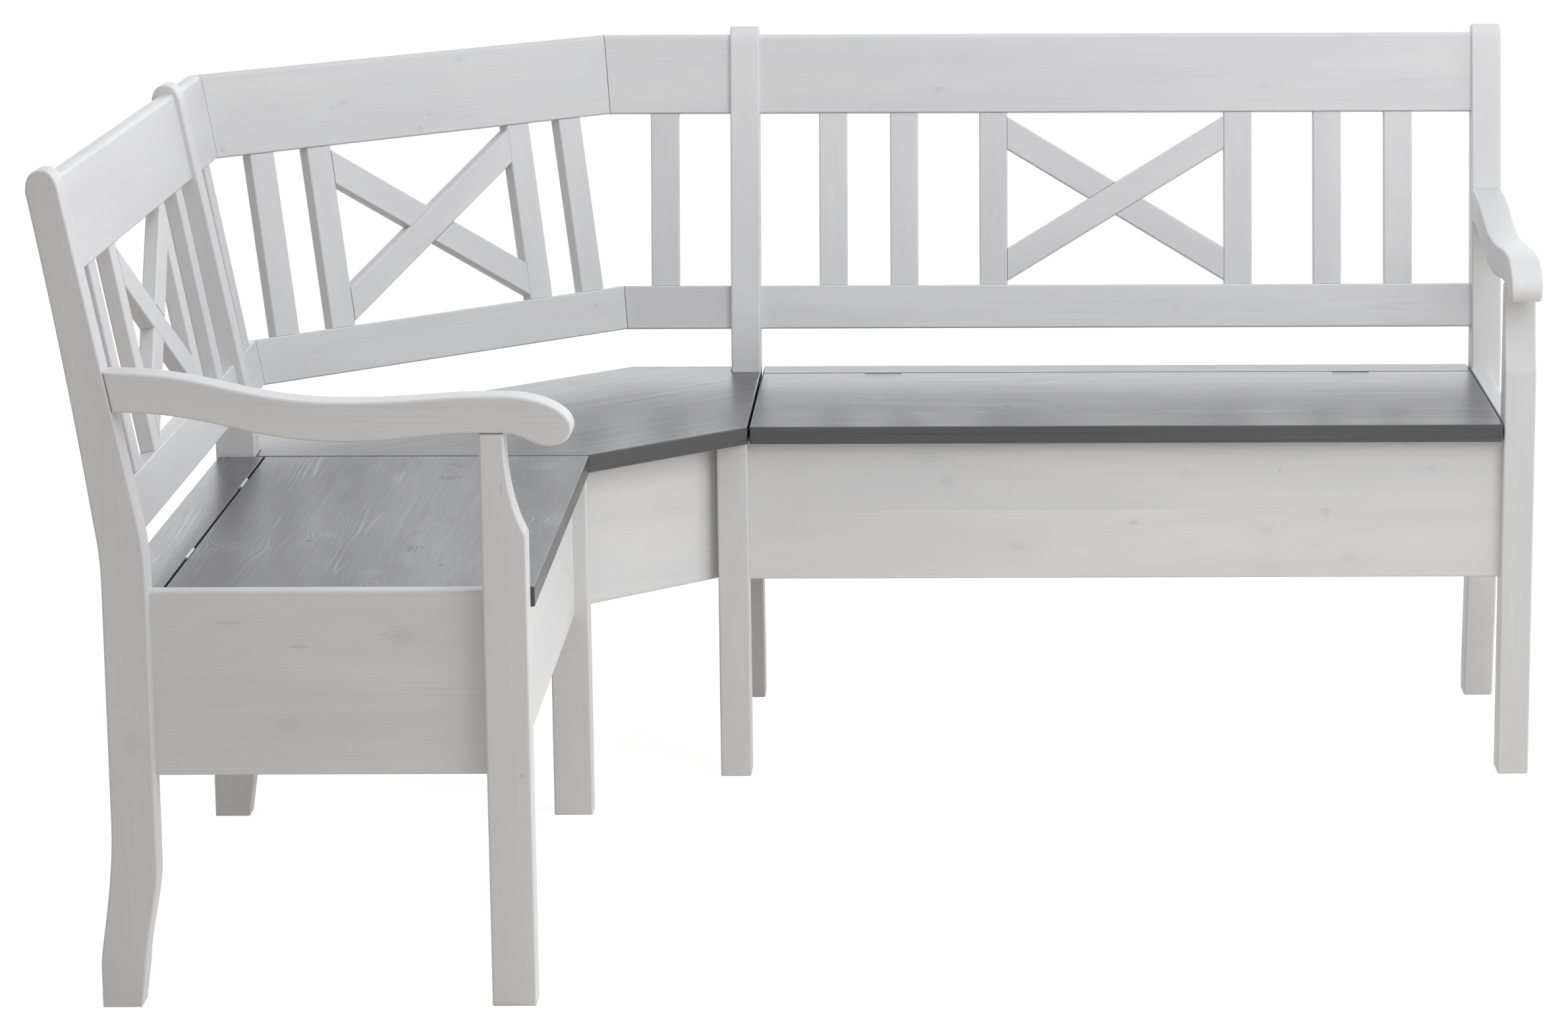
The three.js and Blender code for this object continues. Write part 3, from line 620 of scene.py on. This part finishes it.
# Rear legs: straight in the middle, with a foot that kicks back and a top that leans back
rearLeg = {
    "lead": 1.2,  # straight part in front of the rails, at the height of the seat
    "depth": 49,
    "straightTop": 478, "kneeTop": 542, "kneeOffset": 10,
    "crownFoot": 904.96, "crown": 928.96, "crownOffset": 6.5, "crownDepth": 36.2, "hollow": 2.5,
    "shin": 160, "shinShares": [0.26, 0.3], "calf": 210, "calfShares": [0.15, 0.45],
    "ankle": 45, "kick": 17, "ankleDepth": 49.5, "soleDepth": 43,
}
rearLeg["front"] = bench["backDepth"] + rearLeg["lead"]
rearLeg["rear"] = rearLeg["front"] - rearLeg["depth"]


def railFrontAt(height):
    return bench["backDepth"] - (height - seatHeight) * math.tan(lean)


def legFrontAt(height):
    knee = railFrontAt(rearLeg["kneeTop"]) + rearLeg["kneeOffset"]
    crown = railFrontAt(rearLeg["crownFoot"]) + rearLeg["crownOffset"]
    share = (height - rearLeg["kneeTop"]) / (rearLeg["crownFoot"] - rearLeg["kneeTop"])
    return knee + (crown - knee) * share


def rearLegOutline():
    leg = rearLeg
    ankle, knee, foot, crown = leg["ankle"], leg["kneeTop"], leg["crownFoot"], leg["crown"]
    kneeFront, crownFront = legFrontAt(knee), legFrontAt(foot)
    kneeBack, crownBack = kneeFront - leg["depth"], crownFront - leg["crownDepth"]
    sole = leg["rear"] - leg["kick"]
    kneeMiddle = (leg["straightTop"] + knee) / 2
    shinLow, shinHigh = (share * (leg["shin"] - ankle) for share in leg["shinShares"])
    calfLow, calfHigh = (share * (leg["calf"] - ankle) for share in leg["calfShares"])
    front = sole + leg["ankleDepth"]
    shin, calf = (leg["front"], leg["shin"]), (leg["rear"], leg["calf"])
    outline = [(sole, 0), (sole + leg["soleDepth"], 0), (front, ankle)]
    bend(outline, (front, ankle + shinLow), (shin[0], shin[1] - shinHigh), shin)
    outline.append((leg["front"], leg["straightTop"]))
    bend(outline, (leg["front"], kneeMiddle), (kneeFront, knee))
    outline.append((crownFront, foot))
    bend(outline, (legFrontAt(crown), crown), ((crownFront + crownBack) / 2, crown))
    bend(outline, (crownBack, crown), (crownBack, foot))
    hollow = (kneeBack + crownBack) / 2 + 2 * leg["hollow"]
    bend(outline, (hollow, (knee + foot) / 2), (kneeBack, knee))
    bend(outline, (leg["rear"], kneeMiddle), (leg["rear"], leg["straightTop"]))
    outline.append(calf)
    bend(outline, (calf[0], calf[1] - calfHigh), (sole, ankle + calfLow), (sole, ankle))
    return outline


# Front legs at the ends, with a curved cut above the seat, and straight ones at the corner
frontLeg = {
    "rear": 476.5, "top": 642.5, "cut": 529.5, "cutDepth": 22, "cutBelly": 41,
    "shadowGap": 0.8,  # the joint under the armrest, which shows as a dark line
}


def endLegOutline():
    leg, front = frontLeg, bench["wingDepth"]
    top = leg["top"] - leg["shadowGap"]
    outline = [(leg["rear"], 0), (leg["rear"], top), (front - leg["cutDepth"], top)]
    bend(outline, (front - leg["cutDepth"], leg["cut"] + leg["cutBelly"]), (front, leg["cut"]), steps=18)
    outline.append((front, 0))
    return outline


# Armrests: an S along the top, a scroll in front
arm = {
    "rearHeight": 710.5, "rearThickness": 44, "sag": 33.5, "sagDepth": 335, "waist": 43.5, "crest": 6.5,
    "overhang": 52, "tipDrop": 36, "tipRound": 24, "scrollDrop": 14, "easeShare": 0.45, "roundShare": 0.55,
    "edge": 3.4,
}


def armOutline():
    front = bench["wingDepth"]
    sag = arm["rearHeight"] - arm["sag"]
    crest = (front - (front - frontLeg["rear"]) / 2, sag + arm["crest"])
    tip = (front + arm["overhang"], crest[1] - arm["tipDrop"])
    scroll = (tip[0] - arm["tipRound"], frontLeg["top"] - arm["scrollDrop"])
    foot = arm["rearHeight"] - arm["rearThickness"]
    outline = [(legFrontAt(arm["rearHeight"]) + bench["joint"], arm["rearHeight"])]

    def ease(depth, height):
        start = outline[-1]
        handle = (depth - start[0]) * arm["easeShare"]
        bend(outline, (start[0] + handle, start[1]), (depth - handle, height), (depth, height), steps=20)

    def turn(corner, end):
        ends = (Vector(outline[-1]), Vector(end))
        handles = [place.lerp(Vector(corner), arm["roundShare"]) for place in ends]
        bend(outline, *handles, end, steps=16)

    ease(arm["sagDepth"], sag)
    ease(*crest)
    turn((tip[0], crest[1]), tip)
    turn((tip[0], scroll[1]), scroll)
    ease(front - frontLeg["cutDepth"], frontLeg["top"])
    outline.append((frontLeg["rear"], frontLeg["top"]))
    ease(arm["sagDepth"], sag - arm["waist"])
    ease(legFrontAt(foot) + bench["joint"], foot)
    return outline


# Saws a piece out of a plank as thick as the legs, to an outline in depth and height
def sidePiece(side, outline, start, edge):
    turned = [(side * depth, height) for depth, height in outline]
    made = sawn("side piece", turned, bench["legWidth"], edge)
    settle(made, Matrix(((0, 0, 1, start * mm), (1, 0, 0, 0), (0, 1, 0, 0), (0, 0, 0, 1))))
    return made


for name, wing in wings.items():
    boxEnd = wing["length"] - bench["legWidth"]
    front, rear = bench["wingDepth"], frontLeg["rear"]
    pieces = {
        "corner_rear_leg": (rearLegOutline(), cornerLength),
        "end_rear_leg": (rearLegOutline(), boxEnd),
        "end_front_leg": (endLegOutline(), boxEnd),
        "corner_front_leg": ([(rear, 0), (rear, boxTop), (front, boxTop), (front, 0)], cornerLength),
        "armrest": (armOutline(), boxEnd),
    }
    for part, (outline, start) in pieces.items():
        edge, grain = (arm["edge"], crosswise) if part == "armrest" else (bench["legEdge"], sideways)
        fitBoard(sidePiece(wing["side"], outline, start, edge), wing["place"], grain, f"{name}_{part}")
print("legs and armrests sawn")


# The leaning backs: rails with a rounded top, slats between them
back = {
    "railThickness": 22, "railEdge": 2.2, "topRound": 6.5,
    "topRise": 354, "topHeight": 108, "bottomRise": 59, "bottomHeight": 59, "bay": 236,
    "slatWidth": 38.5, "slatThickness": 18, "slatSetback": 2, "slatEdge": 2.4,
    "crossSpan": 296.5, "crossClearance": 5.5, "halvingPlay": 0.1,
    "cornerSlat": 0.42,  # from the mitre to the corner leg
    "diagonalSlats": [0.535],
    "mitreGap": 0.3,  # each end short of its mitre, so that the joint shows as a fine dark line
    "spare": 40,  # length left on at a mitre until it is sawn
}
bayMiddle = back["topRise"] - back["bay"] / 2
bayDepth = bench["backDepth"] - bayMiddle * math.sin(lean)


def leaning(side):
    foot = Matrix.Translation((0, side * bench["backDepth"] * mm, seatHeight * mm))
    return foot @ Matrix.Rotation(side * lean, 4, "X")


# A rail lies behind the plane Y = 0 of the rails' front faces. Low is its lower edge along the lean.
def railPiece(side, start, end, low, height, topRound):
    made = plank("rail", (start, 0, low), (end, -side * back["railThickness"], low + height), 0, axis=None)
    lengthways = alongAxis(0)
    middle, foot = (low + height / 2) * mm, low * mm + samePlace
    roundEdges(made, topRound, 5, lambda a, b: lengthways(a, b) and a.z > middle)
    roundEdges(made, back["railEdge"], 3, lambda a, b: lengthways(a, b) and max(a.z, b.z) < foot)
    return made


# Front and rear face of the slats and bars, as places along Y
def slatFaces(side):
    return -side * back["slatSetback"], -side * (back["slatSetback"] + back["slatThickness"])


def slatPiece(side, middle):
    half, reach = back["slatWidth"] / 2, back["bay"] / 2 - bench["joint"]
    front, rear = slatFaces(side)
    low, high = (middle - half, front, bayMiddle - reach), (middle + half, rear, bayMiddle + reach)
    return plank("slat", low, high, back["slatEdge"], axis=2)


# The bars of a cross are halved into each other. The one that rises along the wing's X keeps its front
# half where they meet, and the other its rear half.
def crossBar(side, rising):
    half = back["crossSpan"] / 2
    top = back["bay"] / 2 - back["crossClearance"]
    radius = back["slatWidth"] / 2
    narrowing = 1 - (radius / half) ** 2
    rise = (top - math.sqrt(top ** 2 - narrowing * (top ** 2 - radius ** 2))) / narrowing
    slope = math.atan2(rise, half)
    turn = slope if rising else -slope
    reach = half / math.cos(slope) + radius * math.tan(slope)
    front, rear = slatFaces(side)
    made = plank("bar", (-reach, front, -radius), (reach, rear, radius), back["slatEdge"])
    settle(made, Matrix.Rotation(-turn, 4, "Y"))
    wide = radius + back["halvingPlay"]
    beyond = (rear if rising else front) * 2 - (front + rear) / 2  # past the face that is cut
    notch = plank("notch", (-reach, (front + rear) / 2, -wide), (reach, beyond, wide), 0, axis=None)
    settle(notch, Matrix.Rotation(turn, 4, "Y"))
    cutOut(made, notch)
    for end in (-1, 1):
        sawEnd(made, (end * (half - back["halvingPlay"]), 0, 0), (end, 0, 0), arris=0)
    settle(made, Matrix.Translation((0, 0, bayMiddle * mm)))
    return made, Matrix.Rotation(-turn, 4, "Y") @ edgeways


def makeBack(name, side, place, start, end, slats, crossMiddle=None, cuts=()):
    tilt = leaning(side)
    rails = {
        "top_rail": (back["topRise"], back["topHeight"], back["topRound"]),
        "bottom_rail": (back["bottomRise"], back["bottomHeight"], back["railEdge"]),
    }
    for part, (low, height, topRound) in rails.items():
        made = railPiece(side, start, end, low, height, topRound)
        settle(made, tilt)
        for point, normal in cuts:
            sawEnd(made, point, normal)
        fitBoard(made, place, tilt @ edgeways, f"{name}_{part}")
    for i, middle in enumerate(slats):
        number = f"_{i + 1}" if len(slats) > 1 else ""
        made = slatPiece(side, middle)
        settle(made, tilt)
        fitBoard(made, place, tilt @ upright, f"{name}_slat{number}")
    if crossMiddle is None:
        return
    reach = (back["crossSpan"] + back["slatWidth"]) / 2
    cross = f"{name}_cross"
    for label, offset in (("first", -reach), ("second", reach)):
        made = slatPiece(side, crossMiddle + offset)
        settle(made, tilt)
        fitBoard(made, place, tilt @ upright, f"{cross}_{label}_upright", node=cross)
    for label, rising in (("rising", True), ("falling", False)):
        made, grain = crossBar(side, rising)
        settle(made, tilt @ Matrix.Translation((crossMiddle * mm, 0, 0)))
        fitBoard(made, place, tilt @ grain, f"{cross}_{label}_bar", node=cross)


def besideCross(middle, end, shares):
    inner = back["crossSpan"] / 2 + back["slatWidth"]
    offsets = [inner + (end - middle - inner) * share for share in shares]
    return [middle - offset for offset in reversed(offsets)] + [middle + offset for offset in offsets]


for name, wing in wings.items():
    boxEnd = wing["length"] - bench["legWidth"]
    middle = (cornerLegEnd + boxEnd) / 2
    slats = besideCross(middle, boxEnd, wing["slats"])
    makeBack(name, wing["side"], wing["place"], cornerLegEnd, boxEnd, slats, middle)
    mitreX = cornerCut + bayDepth * mitreSlope + bench["joint"] / 2
    slat = mitreX + (cornerLength - mitreX) * back["cornerSlat"]
    mitre = cornerCut + bench["joint"] / 2 + back["mitreGap"]
    cut = ((mitre, 0, 0), (-1, wing["side"] * mitreSlope, 0))
    makeBack(
        f"{name}_corner", wing["side"], wing["place"], cornerCut - back["spare"], cornerLength,
        [slat], cuts=[cut],
    )
diagonalHalf = cornerCut / math.sqrt(2) - bench["joint"] / 2
diagonalSlats = besideCross(0, diagonalHalf - bayDepth * mitreSlope, back["diagonalSlats"])
mitre = diagonalHalf - back["mitreGap"]
makeBack(
    "diagonal", -1, diagonalPlace, -diagonalHalf, diagonalHalf, diagonalSlats, 0,
    cuts=[((end * mitre, 0, 0), (end, -mitreSlope, 0)) for end in (-1, 1)],
)
print("backs joined")


# Seats: a fixed strip and a hinged lid on each box, and the six-sided corner seat
seat = {
    "stripRecess": 3,  # strips in front of the rear legs' rear faces
    "overhang": 4.5,  # lids in front of the front legs
    "hingeClearance": 13.5,  # rails to the hinges' axis, at the height of the seat
    "hingeGap": 3,
    "gapEdge": 0.8,  # strip and lid meet with crisper edges than the rest
    "cornerDepth": 78,  # rear plane of the diagonal to the corner seat
}
seat["rear"] = rearLeg["rear"] + seat["stripRecess"]
seat["front"] = bench["wingDepth"] + seat["overhang"]
seat["hingeDepth"] = bench["backDepth"] + seat["hingeClearance"]


# Where a wing's strip and lid start and end along the wing
def lidEnds(wing):
    return cornerLegEnd + bench["seatGap"], wing["length"] - bench["legWidth"] - bench["lidPlay"]


for name, wing in wings.items():
    side = wing["side"]
    start, end = lidEnds(wing)
    parts = {
        "seat_strip": ("frame", seat["rear"], seat["hingeDepth"] - seat["hingeGap"] / 2),
        "seat_lid": (f"{name}_lid", seat["hingeDepth"] + seat["hingeGap"] / 2, seat["front"]),
    }
    for part, (body, rear, front) in parts.items():
        low, high = (start, side * rear, boxTop), (end, side * front, seatHeight)
        made = plank("seat board", low, high, 0, axis=None)
        gapFace = side * (front if part == "seat_strip" else rear) * mm
        atGap = lambda a, b: max(abs(a.y - gapFace), abs(b.y - gapFace)) < samePlace
        roundEdges(made, bench["seatEdge"], 4, lambda a, b: not atGap(a, b))
        roundEdges(made, seat["gapEdge"], 3, atGap)
        fitBoard(made, wing["place"], lying, f"{name}_{part}", "grey_glaze", body)

notch = rearLeg["front"] + bench["joint"]
sideEnd = cornerLength - bench["joint"]
bevel = cornerCut + seat["cornerDepth"] * math.sqrt(2) - seat["rear"]
halfSeat = [
    (bevel, seat["rear"]), (sideEnd, seat["rear"]), (sideEnd, notch), (cornerLegEnd, notch),
    (cornerLegEnd, seat["front"]),
]
otherHalf = [(depth, length) for length, depth in reversed(halfSeat)]
outline = [(x, -y) for x, y in halfSeat + otherHalf]
made = sawn("corner seat", outline, bench["seatThickness"], bench["seatEdge"])
settle(made, Matrix.Translation((0, 0, boxTop * mm)))
fitBoard(made, outerCorner, eighthTurn, "corner_seat", "grey_glaze")
print("seats laid")


# Box boards keep their CAD shape, with the grain along the wing or across it
boxBoards = {
    "front_apron": edgeways, "back_panel": edgeways, "end_panel": crosswise, "divider": crosswise,
    "box_bottom": lying, "corner_seat_rail": edgeways,
}


def keepNode(node, place, grain):
    low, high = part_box(node)
    material = boardMaterial(node, "white_glaze", boardFrame((low + high) / 2, place, grain))
    kept = nodes[node]
    kept.data.materials.clear()
    kept.data.materials.append(material)


for name, wing in wings.items():
    for part, grain in boxBoards.items():
        keepNode(f"{name}_{part}", wing["place"], grain)
keepNode("diagonal_apron", diagonalPlace, edgeways)
keepNode("diagonal_seat_rail", diagonalPlace, edgeways)
print("box boards glazed")


# Butt hinges: pressed leaves in the gap, rolled knuckles above it, screws seen when a lid is open
hinge = {
    "length": 50, "inset": {"right": 165, "left": 176},  # end of the lid to the middle of a hinge
    "knuckles": 5, "play": 0.4, "radius": 1.8, "knuckleEdge": 0.25, "axisRise": 0.6,
    "leaf": 1.1, "leafHeight": 19, "leafTop": -2.2, "leafEdge": 0.25,
    "neck": -1.45, "neckLap": 1,  # the neck joins a leaf to its knuckle and starts inside the leaf
    "gap": 0.2,  # each leaf's face from the plane between the two
    "screwHead": 2.5, "screwRise": 0.5, "screwPlaces": [-18, 0, 18], "screwDrop": [-14, -9, -14],
    "slotLength": 2.9, "slotWidth": 0.7, "knuckleSides": 40, "screwSides": 32,
}


def disc(sides, radius, height, middle, turn):
    bpy.ops.mesh.primitive_cylinder_add(
        vertices=sides, radius=radius * mm, depth=height * mm,
        location=[part * mm for part in middle], rotation=turn,
    )
    made = bpy.context.object
    settle(made, made.matrix_world)
    return made


def knuckle(start, end):
    middle, alongX = ((start + end) / 2, 0, 0), (0, math.pi / 2, 0)
    made = disc(hinge["knuckleSides"], hinge["radius"], end - start, middle, alongX)
    lengthways = alongAxis(0)
    roundEdges(made, hinge["knuckleEdge"], 3, lambda a, b: not lengthways(a, b))
    return made


# A countersunk head with a cross slot, facing out along Y
def screwHead(x, y, z, out):
    height, alongY = hinge["screwRise"], (math.pi / 2, 0, 0)
    made = disc(hinge["screwSides"], hinge["screwHead"], height, (x, y, z), alongY)
    face = y + out * height / 2
    length, width = hinge["slotLength"] / 2, hinge["slotWidth"] / 2
    for reachX, reachZ in ((length, width), (width, length)):
        low = (x - reachX, face - height / 2, z - reachZ)
        high = (x + reachX, face + height / 2, z + reachZ)
        cutOut(made, plank("slot", low, high, 0, axis=None))
    return made


def joinPieces(name, pieces):
    pick(pieces[0])
    for piece in pieces:
        piece.select_set(True)
    bpy.ops.object.join()
    pieces[0].name = name
    return pieces[0]


# One leaf with its knuckles: ahead is 1 for the lid's leaf and -1 for the fixed one
def hingeLeaf(name, side, ahead, first):
    half, foot = hinge["length"] / 2, hinge["leafTop"] - hinge["leafHeight"]
    near, far = ahead * side * hinge["gap"], ahead * side * (hinge["gap"] + hinge["leaf"])
    parts = [plank("leaf", (-half, near, foot), (half, far, hinge["leafTop"]), hinge["leafEdge"], axis=1)]
    step = (hinge["length"] + hinge["play"]) / hinge["knuckles"]
    for number in range(first, hinge["knuckles"], 2):
        start = number * step - half
        end = start + step - hinge["play"]
        low, high = (start, near, hinge["leafTop"] - hinge["neckLap"]), (end, far, hinge["neck"])
        parts.append(plank("neck", low, high, 0, axis=None))
        parts.append(knuckle(start, end))
    out = -ahead * side
    for x, z in zip(hinge["screwPlaces"], hinge["screwDrop"]):
        parts.append(screwHead(x, near - out * hinge["screwRise"] / 2, z, out))
    return joinPieces(name, parts)


for name, wing in wings.items():
    start, end = lidEnds(wing)
    inset = hinge["inset"][name]
    for label, middle in (("corner", start + inset), ("end", end - inset)):
        axis = (middle * mm, wing["side"] * seat["hingeDepth"] * mm, (seatHeight + hinge["axisRise"]) * mm)
        place = wing["place"] @ Matrix.Translation(axis)
        for leaf, ahead, first, body in (("fixed", -1, 0, "frame"), ("lid", 1, 1, f"{name}_lid")):
            made = hingeLeaf(f"{name}_{label}_hinge_{leaf}_leaf_dressed", wing["side"], ahead, first)
            settle(made, place)
            dress(made, zinc, "zinc", body, f"{name}_{label}_hinge_{leaf}_leaf")
print("hinges screwed on")


# Studio, in metres and watts: a white background, a key lamp on the room side, one at the right, one
# above and one behind, which alone shines in the glaze
studio = {
    "ambient": 0.48, "background": 1.0, "lampColour": "#FAFBFF",
    "floorSize": 80, "floorGlow": 0.9, "floorAnswer": 0.25, "floorColour": "#E4E0D5",
    "lamps": {
        "key": {
            "place": (1.35, -1.5, 1.6), "aim": (0, 0, 0.4), "size": (1.4, 1.4),
            "power": 20, "shine": False,
        },
        "side": {
            "place": (3.5, 0.2, 0.8), "aim": (0, -0.3, 0.4), "size": (1.5, 1.2),
            "power": 21, "shine": False,
        },
        "top": {
            "place": (0.5, -0.2, 2.7), "aim": (0.2, 0.5, 0.6), "size": (2.2, 1.2),
            "power": 17.5, "shine": False,
        },
        "rear": {
            "place": (0.2, 4.2, 1.7), "aim": (0.2, 0, 1.3), "size": (5.5, 2.2),
            "power": 42, "shine": True,
        },
    },
}


def seenDirectly(tree):
    path = addNode(tree, "LightPath").outputs
    seen = path["Is Camera Ray"]
    for ray in ("Is Glossy Ray", "Is Transmission Ray"):
        seen = maths(tree, "MAXIMUM", seen, path[ray])
    return seen


def makeStudio(room):
    world = bpy.data.worlds.new("studio")
    bpy.context.scene.world = world
    world.use_nodes = True
    tree = world.node_tree
    tree.nodes.clear()
    seen = seenDirectly(tree)
    strength = mapped(tree, seen, [0, 1], room["ambient"], room["background"])
    sky = addNode(tree, "Background", {"Color": (1, 1, 1, 1), "Strength": strength})
    addNode(tree, "OutputWorld", {"Surface": sky})

    bpy.ops.mesh.primitive_plane_add(size=room["floorSize"])
    floor = bpy.context.object
    floor.name = "floor"
    material, tree = newMaterial("floor")
    matt = addNode(tree, "BsdfDiffuse", {"Color": linear(room["floorColour"])})
    answer = addNode(tree, "BsdfDiffuse", {"Color": [room["floorAnswer"]] * 3 + [1]})
    glow = addNode(tree, "Emission", {"Color": (1, 1, 1, 1), "Strength": room["floorGlow"]})
    shown = addNode(tree, "AddShader", [answer, glow])
    mixed = addNode(tree, "MixShader", [seenDirectly(tree), matt, shown])
    addNode(tree, "OutputMaterial", {"Surface": mixed})
    floor.data.materials.append(material)

    for name, lamp in room["lamps"].items():
        bpy.ops.object.light_add(type="AREA", location=lamp["place"])
        light = bpy.context.object
        light.name = name
        towards = Vector(lamp["aim"]) - Vector(lamp["place"])
        light.rotation_euler = towards.to_track_quat("-Z", "Y").to_euler()
        light.data.shape = "RECTANGLE"
        light.data.size, light.data.size_y = lamp["size"]
        light.data.energy = lamp["power"]
        light.data.color = linear(room["lampColour"])[:3]
        light.visible_camera = False
        light.visible_glossy = lamp["shine"]


makeStudio(studio)

# Camera: the photograph's place (metres), turn (radians) and lens (pixels), found from the bench's own
# edges
view = {
    "place": (0.14043, -5.80939, 1.58373), "yaw": -0.0019, "pitch": 0.2093, "roll": -0.0036,
    "focal": 7246, "principal": (1461.74, 837.17), "picture": (2380, 1565),
    "sensor": 36, "farthest": 200,
}


def makeCamera(view):
    yaw, pitch, roll = view["yaw"], view["pitch"], view["roll"]
    forward = Vector((math.sin(yaw) * math.cos(pitch), math.cos(yaw) * math.cos(pitch), -math.sin(pitch)))
    level = Vector((math.cos(yaw), -math.sin(yaw), 0))
    steep = level.cross(forward)
    right = level * math.cos(roll) + steep * math.sin(roll)
    top = steep * math.cos(roll) - level * math.sin(roll)
    turn = Matrix((right, top, -forward)).transposed().to_4x4()
    data = bpy.data.cameras.new("camera")
    camera = bpy.data.objects.new("camera", data)
    bpy.context.scene.collection.objects.link(camera)
    camera.matrix_world = Matrix.Translation(view["place"]) @ turn
    width, height = view["picture"]
    data.sensor_width = view["sensor"]
    data.sensor_fit = "HORIZONTAL"
    data.lens = view["sensor"] * view["focal"] / width
    data.shift_x = (width / 2 - view["principal"][0]) / width
    data.shift_y = (view["principal"][1] - height / 2) / width
    data.clip_end = view["farthest"]
    bpy.context.scene.camera = camera


makeCamera(view)
bpy.context.scene.view_settings.view_transform = "Standard"
print("studio and camera set")
